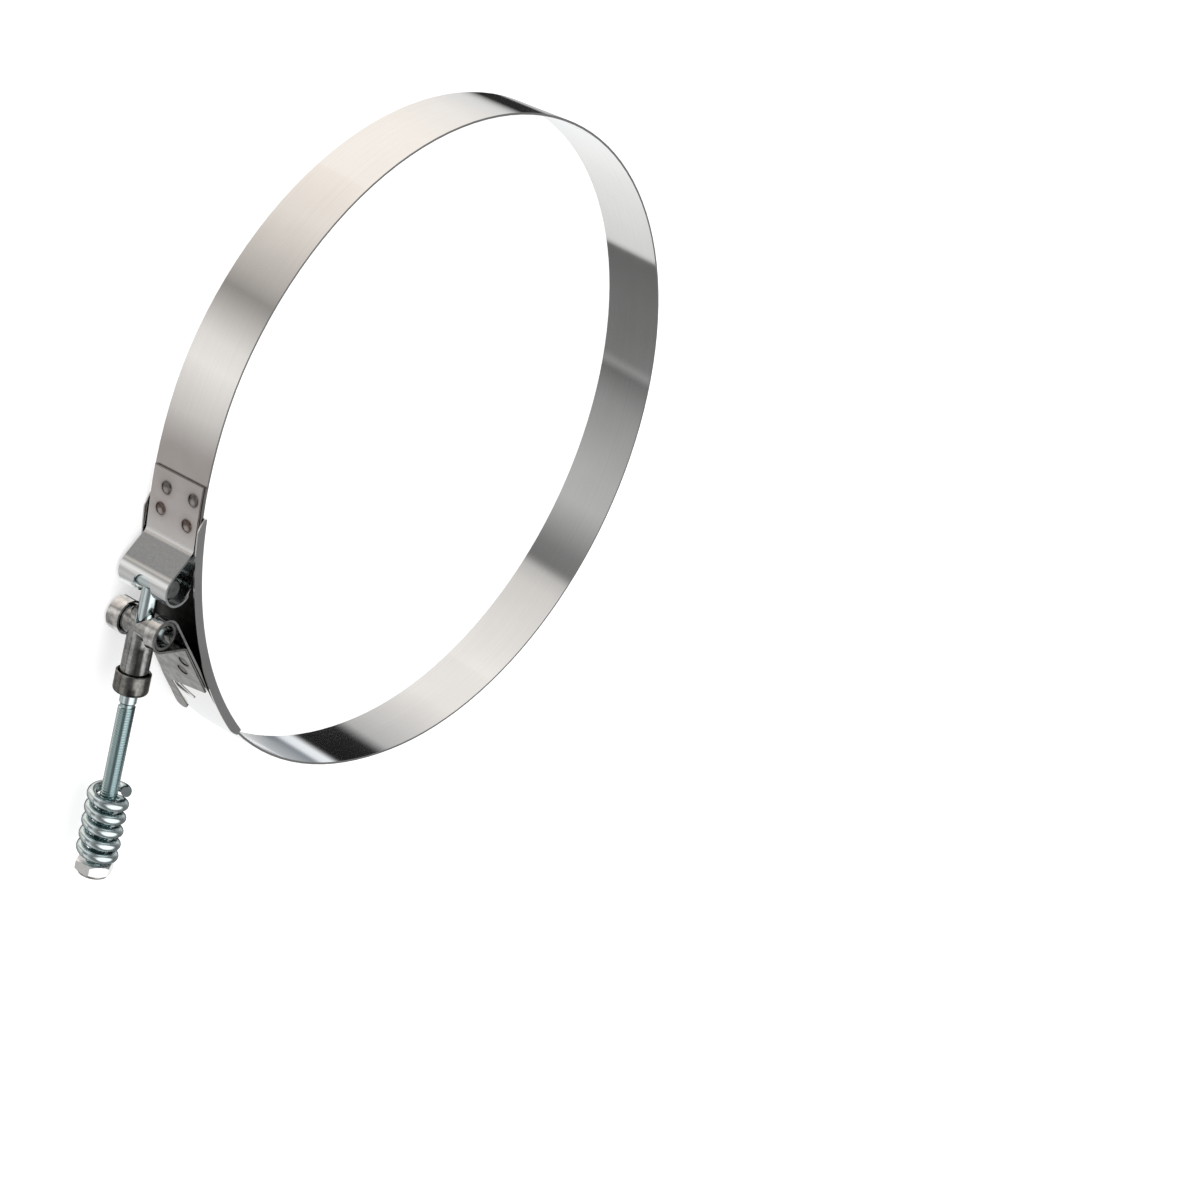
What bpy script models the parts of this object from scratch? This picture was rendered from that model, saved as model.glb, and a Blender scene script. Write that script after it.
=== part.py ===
"""Spring-loaded T-bolt hose clamp, lying flat with its nut towards +X.

The origin is the band's centre on the plane that the clamp rests on. +Z is the band's axis,
the bolt runs along +X, and the closure with its two loops is on the -Y side. Metres.
"""
import bpy
import bmesh
import math
from mathutils import Matrix, Vector

MM = 0.001

# Band strip
BAND_WIDTH = 19.05 * MM
BAND_THICKNESS = 0.65 * MM
BAND_RADIUS = 99.3 * MM
LEAF_GAP = 0.15 * MM
ARC_STEP = 3.0
BEND_STEP = 9.0

# Closure, where the loosely assembled band leaves its circle
UPPER_INSET = 0.6 * MM
UPPER_BLEND_START = -110.0
UPPER_BLEND_END = -90.0
LOWER_OUTSET = 3.4 * MM
LOWER_BLEND_START = 6.0
LOWER_BLEND_END = -51.5
SEAT_GAP = 0.3 * MM

# T-bolt, a number 10 thread
BOLT_OFFSET = 2.4 * MM
BOLT_DIAMETER = 4.83 * MM
BOLT_CHAMFER = 0.5 * MM
BOLT_PROTRUSION = 0.9 * MM
HEAD_X = 31.0 * MM
HEAD_DIAMETER = 6.2 * MM
HEAD_LENGTH = 15.0 * MM
HEAD_CHAMFER = 0.6 * MM

# Loop round the bolt's head
UPPER_LOOP_SIDE_TRIM = 0.6 * MM
HEAD_ROLL_SLACK = 1.0 * MM
HEAD_ROLL_SLACK_ANGLE = 112.0
UPPER_LEAF_START_ANGLE = -89.2
UPPER_LEAF_LENGTH = 9.0 * MM
UPPER_FOLD_RADIUS = 2.2 * MM
BOLT_SLOT_WIDTH = 6.7 * MM
BOLT_SLOT_START = 1.6 * MM

# Trunnion
TRUNNION_X = 44.3 * MM
TRUNNION_DIAMETER = 8.0 * MM
TRUNNION_LENGTH = 16.4 * MM
TRUNNION_WALL = 0.8 * MM
SLEEVE_DIAMETER = 7.9 * MM
SLEEVE_LENGTH = 18.0 * MM
ROD_CLEARANCE = 0.35 * MM
ENTRY_HEIGHT = 8.0 * MM
ENTRY_DEPTH = 7.7 * MM

# Loop round the trunnion
LOOP_NEAR_TRIM = 1.0 * MM
LOOP_FAR_TRIM = 0.2 * MM
LEAF_NEAR_TRIM = 0.1 * MM
LEAF_FAR_TRIM = 1.6 * MM
LOWER_FOLD_SETBACK = 10.0 * MM
LOWER_FOLD_RADIUS = 1.0 * MM
LOWER_LEAF_LENGTH = 18.0 * MM
LEAF_END_SLANT = 3.4 * MM
TRUNNION_SLOT_WIDTH = 10.0 * MM
TONGUE_ROOT = 2.2 * MM
TONGUE_WIDTH = 4.4 * MM
TONGUE_LENGTH = 16.0 * MM

# Spot welds, as distances back from the fold and heights above mid width
WELD_DIAMETER = 3.6 * MM
WELD_DEPTH = 0.2 * MM
NUGGET_SHARE = 0.7
UPPER_WELDS = (
    (13.1 * MM, -3.5 * MM),
    (13.3 * MM, 6.4 * MM),
    (6.7 * MM, -4.6 * MM),
    (5.6 * MM, 5.3 * MM),
)
LOWER_WELDS = ((6.5 * MM, 5.3 * MM), (11.5 * MM, 2.9 * MM))

# Bridge under the closure
BRIDGE_THICKNESS = 0.45 * MM
BRIDGE_SIDE_CLEARANCE = 0.3 * MM
BRIDGE_FLANGE_HEIGHT = 2.8 * MM
BRIDGE_START_ANGLE = -84.0
BRIDGE_END_ANGLE = -39.5
BRIDGE_STEP = 1.0
BRIDGE_CORNER = 2.5
BRIDGE_START_HEIGHT = 0.25
BRIDGE_END_HEIGHT = 0.55
BRIDGE_EASE = 1.3

# Collar pressed over the sleeve
COLLAR_DIAMETER = 9.9 * MM
COLLAR_LENGTH = 6.2 * MM
COLLAR_WALL = 0.65 * MM
COLLAR_FLOOR = 1.5 * MM
COLLAR_CORNER = 1.2 * MM

# Spring and lock nut
SPRING_DIAMETER = 12.0 * MM
WIRE_DIAMETER = 2.9 * MM
SPRING_PITCH = 4.1 * MM
SPRING_TURNS = 5.35
SPRING_FREE_END_ANGLE = 60.0
CLOSED_TURN = 0.35
NUT_X = 115.4 * MM
NUT_ACROSS_FLATS = 9.525 * MM
NUT_HEIGHT = 4.1 * MM
NUT_CHAMFER = 0.45 * MM
NUT_COLLAR_LENGTH = 0.8 * MM
NUT_COLLAR_INSET = 0.4 * MM
NUT_COLLAR_ROUND = 0.5 * MM
THREAD_CLEARANCE = 0.3 * MM

ROUND_SIDES = 48
CUT_SIDES = 24
WIRE_SIDES = 16
COIL_STEPS = 26
CUT_MARGIN = 4.0 * MM

BRIDGE_WIDTH = BAND_WIDTH + 2 * (BRIDGE_SIDE_CLEARANCE + BRIDGE_THICKNESS)
MID_Z = BRIDGE_WIDTH / 2
BOLT_Y = -(BAND_RADIUS + BOLT_OFFSET)
ROD_BORE = BOLT_DIAMETER / 2 + ROD_CLEARANCE


def clear_scene():
    for obj in list(bpy.data.objects):
        bpy.data.objects.remove(obj, do_unlink=True)


def make_material(name, color, roughness):
    material = bpy.data.materials.new(name)
    material.use_nodes = True
    shader = material.node_tree.nodes["Principled BSDF"]
    shader.inputs["Base Color"].default_value = (*color, 1.0)
    shader.inputs["Roughness"].default_value = roughness
    shader.inputs["Metallic"].default_value = 1.0
    return material


def new_object(name, bm, material=None):
    """Turn a bmesh into an object with outward faces; one without a material is a tool."""
    bmesh.ops.recalc_face_normals(bm, faces=bm.faces)
    mesh = bpy.data.meshes.new(name)
    bm.to_mesh(mesh)
    bm.free()
    obj = bpy.data.objects.new(name, mesh)
    bpy.context.scene.collection.objects.link(obj)
    if material is None:
        obj.hide_render = True
        obj.display_type = "WIRE"
    else:
        mesh.materials.append(material)
        mesh.shade_smooth()
        mesh.set_sharp_from_angle(angle=math.radians(35))
    return obj


def combine(obj, tool, operation):
    """Add a Boolean modifier that joins, cuts or trims obj by tool."""
    modifier = obj.modifiers.new(tool.name, "BOOLEAN")
    modifier.operation = operation
    modifier.object = tool
    modifier.solver = "EXACT"
    return obj


def smooth_step(value):
    t = min(max(value, 0.0), 1.0)
    return t * t * (3 - 2 * t)


def polar(radius, angle):
    a = math.radians(angle)
    return Vector((radius * math.cos(a), radius * math.sin(a)))


def left_normal(direction):
    return Vector((-direction.y, direction.x))


def arc(center, radius, start, end, step=BEND_STEP):
    """Points on a circle from angle start to angle end, both included."""
    count = max(2, math.ceil(abs(end - start) / step))
    return [center + polar(radius, start + (end - start) * i / count) for i in range(count + 1)]


def cross_tangent(center_a, radius_a, center_b, radius_b, side):
    """Angles where a line touches two circles on opposite sides; side picks which line."""
    offset = center_b - center_a
    heading = math.degrees(math.atan2(offset.y, offset.x))
    lean = math.degrees(math.acos((radius_a + radius_b) / offset.length))
    touch = heading + side * lean
    return touch, touch + 180.0


def band_circle(angle):
    """Mean radius of the band at an angle between the upper closure, -90, and the lower, -411."""
    lower = (LOWER_BLEND_START - 360 - angle) / (LOWER_BLEND_START - LOWER_BLEND_END)
    upper = (angle - UPPER_BLEND_START) / (UPPER_BLEND_END - UPPER_BLEND_START)
    return BAND_RADIUS + LOWER_OUTSET * smooth_step(lower) - UPPER_INSET * smooth_step(upper)


UPPER_RADIUS = BAND_RADIUS - UPPER_INSET
LOWER_RADIUS = BAND_RADIUS + LOWER_OUTSET
LEAF_OFFSET = BAND_THICKNESS + LEAF_GAP
HEAD_ROLL_RADIUS = HEAD_DIAMETER / 2 + SEAT_GAP + HEAD_ROLL_SLACK + BAND_THICKNESS / 2
TRUNNION_ROLL_RADIUS = TRUNNION_DIAMETER / 2 + SEAT_GAP + BAND_THICKNESS / 2
HEAD_CENTER = Vector((HEAD_X, BOLT_Y)) + polar(HEAD_ROLL_SLACK, HEAD_ROLL_SLACK_ANGLE)
TRUNNION_CENTER = Vector((TRUNNION_X, BOLT_Y))
ORIGIN = Vector((0.0, 0.0))
UPPER_TOUCH, HEAD_TOUCH = cross_tangent(ORIGIN, UPPER_RADIUS, HEAD_CENTER, HEAD_ROLL_RADIUS, -1)
LOWER_TOUCH, ROLL_TOUCH = cross_tangent(
    ORIGIN, LOWER_RADIUS, TRUNNION_CENTER, TRUNNION_ROLL_RADIUS, 1
)


def upper_leg_point(distance, outward):
    """Point beside the straight leg that runs from the band's circle to the upper roll."""
    if distance < 0.0:
        return polar(UPPER_RADIUS + outward, UPPER_TOUCH + math.degrees(distance / UPPER_RADIUS))
    normal = polar(1.0, UPPER_TOUCH)
    return normal * (UPPER_RADIUS + outward) + left_normal(normal) * distance


def lower_leg_point(distance, outward):
    """Point beside the straight leg, measured from the lower roll back towards the band."""
    touch = TRUNNION_CENTER + polar(TRUNNION_ROLL_RADIUS, ROLL_TOUCH)
    normal = polar(1.0, LOWER_TOUCH)
    return touch + left_normal(normal) * distance + normal * outward


def upper_loop_path():
    """Folded-back leaf, ramp and roll round the bolt's head, ending where the inner leg starts."""
    leaf_radius = UPPER_RADIUS + LEAF_OFFSET
    points = arc(ORIGIN, leaf_radius, UPPER_LEAF_START_ANGLE, UPPER_TOUCH, ARC_STEP)
    bend = upper_leg_point(UPPER_LEAF_LENGTH, LEAF_OFFSET)
    outward = polar(1.0, UPPER_TOUCH)
    fold_center = bend + outward * UPPER_FOLD_RADIUS
    leave, touch = cross_tangent(fold_center, UPPER_FOLD_RADIUS, HEAD_CENTER, HEAD_ROLL_RADIUS, 1)
    fold_start = UPPER_TOUCH + 180.0
    while leave > fold_start:
        leave -= 360.0
    points += arc(fold_center, UPPER_FOLD_RADIUS, fold_start, leave)
    end = HEAD_TOUCH
    while touch > end:
        touch -= 360.0
    while end > touch + 360.0:
        end -= 360.0
    points += arc(HEAD_CENTER, HEAD_ROLL_RADIUS, touch, end)
    return with_trims(points, UPPER_LOOP_SIDE_TRIM, UPPER_LOOP_SIDE_TRIM)


def ring_path():
    """The band's long way round, clockwise from the upper leg to the lower leg."""
    start = UPPER_TOUCH
    end = LOWER_TOUCH - 360.0
    count = math.ceil((start - end) / ARC_STEP)
    angles = [start + (end - start) * i / count for i in range(count + 1)]
    return with_trims([polar(band_circle(angle), angle) for angle in angles], 0.0, 0.0)


def lower_loop_path():
    """Roll round the trunnion, then the folded-back leaf that lies on the inner leg."""
    fold_center = lower_leg_point(LOWER_FOLD_SETBACK, LEAF_OFFSET + LOWER_FOLD_RADIUS)
    leave, touch = cross_tangent(
        TRUNNION_CENTER, TRUNNION_ROLL_RADIUS, fold_center, LOWER_FOLD_RADIUS, -1
    )
    start = ROLL_TOUCH
    while leave < start:
        leave += 360.0
    while leave > start + 360.0:
        leave -= 360.0
    roll = arc(TRUNNION_CENTER, TRUNNION_ROLL_RADIUS, start, leave)
    fold_end = LOWER_TOUCH + 180.0
    while touch < fold_end:
        touch += 360.0
    while touch > fold_end + 360.0:
        touch -= 360.0
    fold = arc(fold_center, LOWER_FOLD_RADIUS, touch, fold_end)
    leaf_end = lower_leg_point(LOWER_FOLD_SETBACK + LOWER_LEAF_LENGTH + TONGUE_LENGTH, LEAF_OFFSET)
    stations = with_trims(roll, LOOP_FAR_TRIM, LOOP_NEAR_TRIM)
    stations += with_trims(fold, LEAF_FAR_TRIM, LOOP_NEAR_TRIM)
    return stations + with_trims([leaf_end], LEAF_FAR_TRIM, LEAF_NEAR_TRIM)


def with_trims(points, far_trim, near_trim):
    """Pair each path point with what the strip loses at its far, low side and near, high side."""
    return [(point, far_trim, near_trim) for point in points]


def drop_doubles(stations):
    kept = [stations[0]]
    for station in stations[1:]:
        if (station[0] - kept[-1][0]).length > 0.01 * MM:
            kept.append(station)
    return kept


def normals_along(points):
    """Left-hand mitre vectors that keep a strip's thickness round its corners."""
    result = []
    last = len(points) - 1
    for i in range(len(points)):
        before = points[i] - points[max(i - 1, 0)]
        after = points[min(i + 1, last)] - points[i]
        if i == 0:
            before = after
        if i == last:
            after = before
        mitre = (left_normal(before.normalized()) + left_normal(after.normalized())).normalized()
        result.append(mitre / mitre.dot(left_normal(after.normalized())))
    return result


def skin(rings, closed=False):
    """Join matching rings of points with quads, then cap the two ends or join them as well."""
    bm = bmesh.new()
    loops = [[bm.verts.new(point) for point in ring] for ring in rings]
    pairs = list(zip(loops, loops[1:]))
    if closed:
        pairs.append((loops[-1], loops[0]))
    for ring_a, ring_b in pairs:
        for i in range(len(ring_a)):
            j = (i + 1) % len(ring_a)
            bm.faces.new((ring_a[i], ring_a[j], ring_b[j], ring_b[i]))
    if not closed:
        bm.faces.new(loops[0])
        bm.faces.new(loops[-1])
    return bm


def strip_mesh(stations, thickness, width):
    """Closed strip of sheet on edge along a path, trimmed at its sides as each station says."""
    rings = []
    normals = normals_along([point for point, far_trim, near_trim in stations])
    for (point, far_trim, near_trim), normal in zip(stations, normals):
        left = point + normal * (thickness / 2)
        right = point - normal * (thickness / 2)
        low = MID_Z - width / 2 + far_trim
        high = MID_Z + width / 2 - near_trim
        corners = [(left, low), (right, low), (right, high), (left, high)]
        rings.append([(p.x, p.y, z) for p, z in corners])
    return skin(rings)


def box_mesh(low, high):
    bm = bmesh.new()
    bmesh.ops.create_cube(bm, size=1.0)
    size = Vector(high) - Vector(low)
    middle = (Vector(high) + Vector(low)) / 2
    bmesh.ops.scale(bm, vec=size, verts=bm.verts)
    bmesh.ops.translate(bm, vec=middle, verts=bm.verts)
    return bm


def lathe_mesh(profile, place, sides=ROUND_SIDES, closed=False):
    """Turn (position, radius) pairs about an axis; place maps the lathe's Z axis to the part.

    A closed profile goes round a wall that never meets the axis, such as a cup with a hole.
    """
    angles = [2 * math.pi * (i + 0.5) / sides for i in range(sides)]
    rings = []
    for position, radius in profile:
        ring = [(radius * math.cos(a), radius * math.sin(a), position) for a in angles]
        rings.append([place @ Vector(point) for point in ring])
    return skin(rings, closed)


def along_z(x):
    return Matrix.Translation((x, BOLT_Y, MID_Z))


def along_x(x=0.0):
    return Matrix.Translation((x, BOLT_Y, MID_Z)) @ Matrix.Rotation(math.radians(90), 4, "Y")


def facing(point, direction):
    """Frame whose Z axis points along a direction in the XY plane."""
    turn = Vector((0, 0, 1)).rotation_difference(Vector((direction.x, direction.y, 0.0)))
    return Matrix.Translation(point) @ turn.to_matrix().to_4x4()


def weld_spots(band, label, point_at, places):
    """Nuggets that join the leaf to the leg, under shallow round electrode marks."""
    for i, (distance, height) in enumerate(places):
        flat = point_at(distance, LEAF_OFFSET)
        outward = (flat - point_at(distance, 0.0)).normalized()
        place = facing(Vector((flat.x, flat.y, MID_Z + height)), outward)
        radius = WELD_DIAMETER / 2
        nugget = [(-LEAF_OFFSET, radius * NUGGET_SHARE), (0.0, radius * NUGGET_SHARE)]
        mark = [(BAND_THICKNESS / 2 - WELD_DEPTH, radius), (BAND_THICKNESS, radius)]
        combine(band, new_object(f"{label}_nugget_{i}", lathe_mesh(nugget, place, CUT_SIDES)), "UNION")
        combine(band, new_object(f"{label}_mark_{i}", lathe_mesh(mark, place, CUT_SIDES)), "DIFFERENCE")


def make_band():
    stations = drop_doubles(upper_loop_path() + ring_path() + lower_loop_path())
    material = make_material("band_steel", (0.72, 0.72, 0.73), 0.28)
    band = new_object("band", strip_mesh(stations, BAND_THICKNESS, BAND_WIDTH), material)
    cut_bolt_slot(band)
    cut_trunnion_slot(band)
    cut_leaf_end(band)
    upper = [(UPPER_LEAF_LENGTH - back, height) for back, height in UPPER_WELDS]
    lower = [(LOWER_FOLD_SETBACK + back, height) for back, height in LOWER_WELDS]
    weld_spots(band, "upper_weld", upper_leg_point, upper)
    weld_spots(band, "lower_weld", lower_leg_point, lower)
    return band


def cut_bolt_slot(band):
    """Round-ended slot over the front of the upper roll, for the bolt to pass and swing."""
    half = BOLT_SLOT_WIDTH / 2
    outer_y = BOLT_Y - HEAD_ROLL_RADIUS - CUT_MARGIN
    front_x = HEAD_X + HEAD_ROLL_RADIUS + CUT_MARGIN
    slot_x = HEAD_X + BOLT_SLOT_START
    lie = Matrix.Translation((slot_x, 0, MID_Z)) @ Matrix.Rotation(math.radians(-90), 4, "X")
    slot_round = lathe_mesh([(outer_y, half), (BOLT_Y, half)], lie, CUT_SIDES)
    combine(band, new_object("bolt_slot_end", slot_round), "DIFFERENCE")
    slot = box_mesh((slot_x, outer_y, MID_Z - half), (front_x, BOLT_Y + half, MID_Z + half))
    combine(band, new_object("bolt_slot", slot), "DIFFERENCE")


def cut_trunnion_slot(band):
    """Wide slot through the lower roll that leaves one arm each side of the sleeve."""
    half = TRUNNION_SLOT_WIDTH / 2
    reach = TRUNNION_ROLL_RADIUS + CUT_MARGIN
    clear_y = BOLT_Y + SLEEVE_DIAMETER / 2 + SEAT_GAP
    slot = box_mesh((TRUNNION_X - reach, BOLT_Y - reach, MID_Z - half),
                    (TRUNNION_X + 2 * reach, clear_y, MID_Z + half))
    combine(band, new_object("trunnion_slot", slot), "DIFFERENCE")


def cut_leaf_end(band):
    """Cut the lower leaf on a slant beyond its plate, leaving a narrow round-ended tongue."""
    near = BAND_WIDTH / 2
    far = -near + LEAF_FAR_TRIM
    plate = LOWER_FOLD_SETBACK + LOWER_LEAF_LENGTH
    root = plate + LEAF_END_SLANT
    tip = plate + TONGUE_LENGTH
    radius = TONGUE_WIDTH / 2
    slope = LEAF_END_SLANT / (near - far - TONGUE_ROOT)
    outline = [(plate - slope * CUT_MARGIN, near + CUT_MARGIN), (root, far + TONGUE_ROOT)]
    middle = Vector((tip - radius, far + radius))
    outline += [tuple(point) for point in arc(middle, radius, 90.0, -90.0)]
    beyond = tip + CUT_MARGIN
    outline += [(tip, far - CUT_MARGIN), (beyond, far - CUT_MARGIN), (beyond, near + CUT_MARGIN)]
    inner = LEAF_OFFSET - BAND_THICKNESS / 2 - LEAF_GAP / 2
    sides = []
    for outward in (inner, LEAF_OFFSET + CUT_MARGIN):
        places = [(lower_leg_point(distance, outward), height) for distance, height in outline]
        sides.append([(p.x, p.y, MID_Z + height) for p, height in places])
    combine(band, new_object("leaf_end", skin(sides)), "DIFFERENCE")


def make_bridge():
    """Shallow channel with upturned sides, lofted along the gap between the band's ends."""
    inset = BAND_THICKNESS / 2 + SEAT_GAP + BRIDGE_THICKNESS / 2
    start_radius = UPPER_RADIUS - inset
    end_radius = band_circle(BRIDGE_END_ANGLE - 360.0) - inset
    span = BRIDGE_END_ANGLE - BRIDGE_START_ANGLE
    count = math.ceil(span / BRIDGE_STEP)
    rings = []
    half = BRIDGE_WIDTH / 2
    for i in range(count + 1):
        angle = BRIDGE_START_ANGLE + span * i / count
        radius = start_radius + (end_radius - start_radius) * (i / count) ** BRIDGE_EASE
        grow = smooth_step((angle - BRIDGE_START_ANGLE) / BRIDGE_CORNER + BRIDGE_START_HEIGHT)
        fall = smooth_step((BRIDGE_END_ANGLE - angle) / (2 * BRIDGE_CORNER) + BRIDGE_END_HEIGHT)
        flange = BRIDGE_THICKNESS + (BRIDGE_FLANGE_HEIGHT - BRIDGE_THICKNESS) * grow * fall
        inner = radius - BRIDGE_THICKNESS / 2
        floor = radius + BRIDGE_THICKNESS / 2
        wall = half - BRIDGE_THICKNESS
        section = [(inner, -half), (inner, half), (inner + flange, half), (inner + flange, wall),
                   (floor, wall), (floor, -wall), (inner + flange, -wall), (inner + flange, -half)]
        ring = []
        for distance, height in section:
            p = polar(distance, angle)
            ring.append((p.x, p.y, MID_Z + height))
        rings.append(ring)
    material = make_material("bridge_steel", (0.68, 0.68, 0.69), 0.3)
    return new_object("bridge", skin(rings), material)


def make_t_bolt():
    radius = BOLT_DIAMETER / 2
    end_x = NUT_X + NUT_HEIGHT + BOLT_PROTRUSION
    profile = [(HEAD_X, radius), (end_x - BOLT_CHAMFER, radius), (end_x, radius - BOLT_CHAMFER)]
    material = make_material("bolt_zinc", (0.74, 0.78, 0.83), 0.22)
    bolt = new_object("t_bolt", lathe_mesh(profile, along_x()), material)
    half = HEAD_LENGTH / 2
    radius = HEAD_DIAMETER / 2
    profile = [(-half, radius - HEAD_CHAMFER), (-half + HEAD_CHAMFER, radius),
               (half - HEAD_CHAMFER, radius), (half, radius - HEAD_CHAMFER)]
    combine(bolt, new_object("head_barrel", lathe_mesh(profile, along_z(HEAD_X))), "UNION")
    return bolt


def make_trunnion():
    """Hollow cross barrel with a sleeve round the bolt, open at both ends and at the entry."""
    half = TRUNNION_LENGTH / 2
    radius = TRUNNION_DIAMETER / 2
    barrel = lathe_mesh([(-half, radius), (half, radius)], along_z(TRUNNION_X))
    material = make_material("trunnion_steel", (0.5, 0.49, 0.47), 0.35)
    trunnion = new_object("trunnion", barrel, material)
    sleeve_end = TRUNNION_X + SLEEVE_LENGTH
    outside = SLEEVE_DIAMETER / 2
    sleeve = lathe_mesh([(TRUNNION_X, outside), (sleeve_end, outside)], along_x())
    combine(trunnion, new_object("sleeve", sleeve), "UNION")
    inside = radius - TRUNNION_WALL
    reach = half + CUT_MARGIN
    hollow = lathe_mesh([(-reach, inside), (reach, inside)], along_z(TRUNNION_X))
    combine(trunnion, new_object("barrel_hollow", hollow), "DIFFERENCE")
    bore = lathe_mesh([(TRUNNION_X, ROD_BORE), (sleeve_end + CUT_MARGIN, ROD_BORE)], along_x())
    combine(trunnion, new_object("sleeve_bore", bore), "DIFFERENCE")
    oval = along_x() @ Matrix.Diagonal((ENTRY_HEIGHT / 2, ENTRY_DEPTH / 2, 1.0, 1.0))
    entry = lathe_mesh([(TRUNNION_X - radius - CUT_MARGIN, 1.0), (TRUNNION_X, 1.0)], oval)
    combine(trunnion, new_object("bolt_entry", entry), "DIFFERENCE")
    return trunnion


def make_collar():
    """Drawn cup with a rounded bottom corner, over the end of the sleeve."""
    radius = COLLAR_DIAMETER / 2
    floor_x = TRUNNION_X + SLEEVE_LENGTH + SEAT_GAP
    end_x = floor_x + COLLAR_FLOOR
    start_x = end_x - COLLAR_LENGTH
    inside = radius - COLLAR_WALL
    bend = Vector((end_x - COLLAR_CORNER, radius - COLLAR_CORNER))
    profile = [(start_x, inside), (start_x, radius)]
    profile += [tuple(point) for point in arc(bend, COLLAR_CORNER, 90.0, 0.0)]
    profile += [(end_x, ROD_BORE), (floor_x, ROD_BORE), (floor_x, inside)]
    material = make_material("collar_steel", (0.42, 0.41, 0.4), 0.4)
    cup = lathe_mesh(profile, along_x(), closed=True)
    return new_object("trunnion_collar", cup, material)


def make_spring():
    """Left-hand helix of round wire, its last turn closing up against the nut."""
    coil = (SPRING_DIAMETER - WIRE_DIAMETER) / 2
    end_x = NUT_X - SEAT_GAP - WIRE_DIAMETER / 2
    steps = math.ceil(SPRING_TURNS * COIL_STEPS)
    start = math.radians(SPRING_FREE_END_ANGLE - 360.0 * SPRING_TURNS)
    rings = []
    for i in range(steps + 1):
        turn = SPRING_TURNS * i / steps
        a = start + 2 * math.pi * turn
        closing = CLOSED_TURN * (1 - math.exp(-turn / CLOSED_TURN))
        radial = Vector((0, math.cos(a), math.sin(a)))
        center = Vector((end_x - SPRING_PITCH * (turn - closing), BOLT_Y, MID_Z)) + radial * coil
        ring = []
        for k in range(WIRE_SIDES):
            b = 2 * math.pi * k / WIRE_SIDES
            offset = radial * math.cos(b) + Vector((1, 0, 0)) * math.sin(b)
            ring.append(center + offset * (WIRE_DIAMETER / 2))
        rings.append(ring)
    material = make_material("spring_zinc", (0.66, 0.7, 0.76), 0.25)
    return new_object("spring", skin(rings), material)


def make_nut():
    """Hexagon with chamfered corners and a round locking collar, bored to clear the bolt."""
    corner = NUT_ACROSS_FLATS / math.sqrt(3)
    end_x = NUT_X + NUT_HEIGHT
    angles = [math.radians(60 * i + 30) for i in range(6)]
    hexagon = [(BOLT_Y + corner * math.cos(a), MID_Z + corner * math.sin(a)) for a in angles]
    prism = skin([[(x, y, z) for y, z in hexagon] for x in (NUT_X, end_x)])
    nut = new_object("lock_nut", prism, make_material("nut_zinc", (0.8, 0.81, 0.82), 0.2))
    rim = NUT_ACROSS_FLATS / 2
    full = corner + NUT_CHAMFER
    slope = NUT_CHAMFER / (corner - rim)
    collar = rim - NUT_COLLAR_INSET
    shoulder = end_x - NUT_COLLAR_LENGTH
    outline = [(NUT_X, rim), (NUT_X + slope * (full - rim), full)]
    outline += [(shoulder - slope * (full - collar), full), (shoulder, collar)]
    bend = Vector((end_x - NUT_COLLAR_ROUND, collar - NUT_COLLAR_ROUND))
    outline += [tuple(point) for point in arc(bend, NUT_COLLAR_ROUND, 90.0, 0.0)]
    combine(nut, new_object("nut_outline", lathe_mesh(outline, along_x())), "INTERSECT")
    bore = BOLT_DIAMETER / 2 + THREAD_CLEARANCE
    hole = lathe_mesh([(NUT_X - CUT_MARGIN, bore), (end_x + CUT_MARGIN, bore)], along_x())
    combine(nut, new_object("nut_bore", hole), "DIFFERENCE")
    return nut


clear_scene()
make_band()
make_bridge()
make_t_bolt()
make_trunnion()
make_collar()
make_spring()
make_nut()
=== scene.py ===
"""Finish, studio and camera for a spring-loaded T-bolt hose clamp.

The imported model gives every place. The bent strips are finished over copies of their solids,
and the bolt with its thread, the collar, the spring and the lock nut are modelled anew.
"""
import bpy
import math
from mathutils import Matrix, Vector


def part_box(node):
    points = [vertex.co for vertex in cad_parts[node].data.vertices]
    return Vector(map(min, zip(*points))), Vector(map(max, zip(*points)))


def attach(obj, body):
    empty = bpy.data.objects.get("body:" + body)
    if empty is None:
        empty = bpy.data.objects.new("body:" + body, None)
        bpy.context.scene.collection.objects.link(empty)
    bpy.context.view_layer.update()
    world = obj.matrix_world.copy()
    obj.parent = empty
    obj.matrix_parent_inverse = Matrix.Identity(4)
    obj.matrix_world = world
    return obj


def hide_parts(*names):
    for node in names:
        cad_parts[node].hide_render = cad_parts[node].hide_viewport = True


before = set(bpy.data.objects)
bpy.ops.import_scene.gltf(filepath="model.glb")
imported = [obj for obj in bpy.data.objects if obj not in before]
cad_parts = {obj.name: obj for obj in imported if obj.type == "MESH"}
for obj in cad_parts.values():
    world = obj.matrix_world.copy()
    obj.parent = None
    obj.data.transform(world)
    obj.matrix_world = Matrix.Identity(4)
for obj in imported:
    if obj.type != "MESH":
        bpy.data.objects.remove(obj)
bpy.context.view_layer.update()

MM = 0.001
ALONG_X = (1.0, 0.0, 0.0)
ALONG_Z = (0.0, 0.0, 1.0)
FAR = 1.0  # farther out than any piece reaches

# Camera, fitted to the ring and the straight pieces of the photograph
CAMERA_PLACE = Vector((-0.24870, -0.65053, 0.48988))
CAMERA_LOOK = Vector((0.33227, 0.80021, -0.49935))
CAMERA_UP = Vector((-0.91253, 0.13870, -0.38489))
CAMERA_LENS = 87.126
CAMERA_SENSOR = 36.0
CAMERA_NEAR, CAMERA_FAR = 0.01, 50.0

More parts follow.
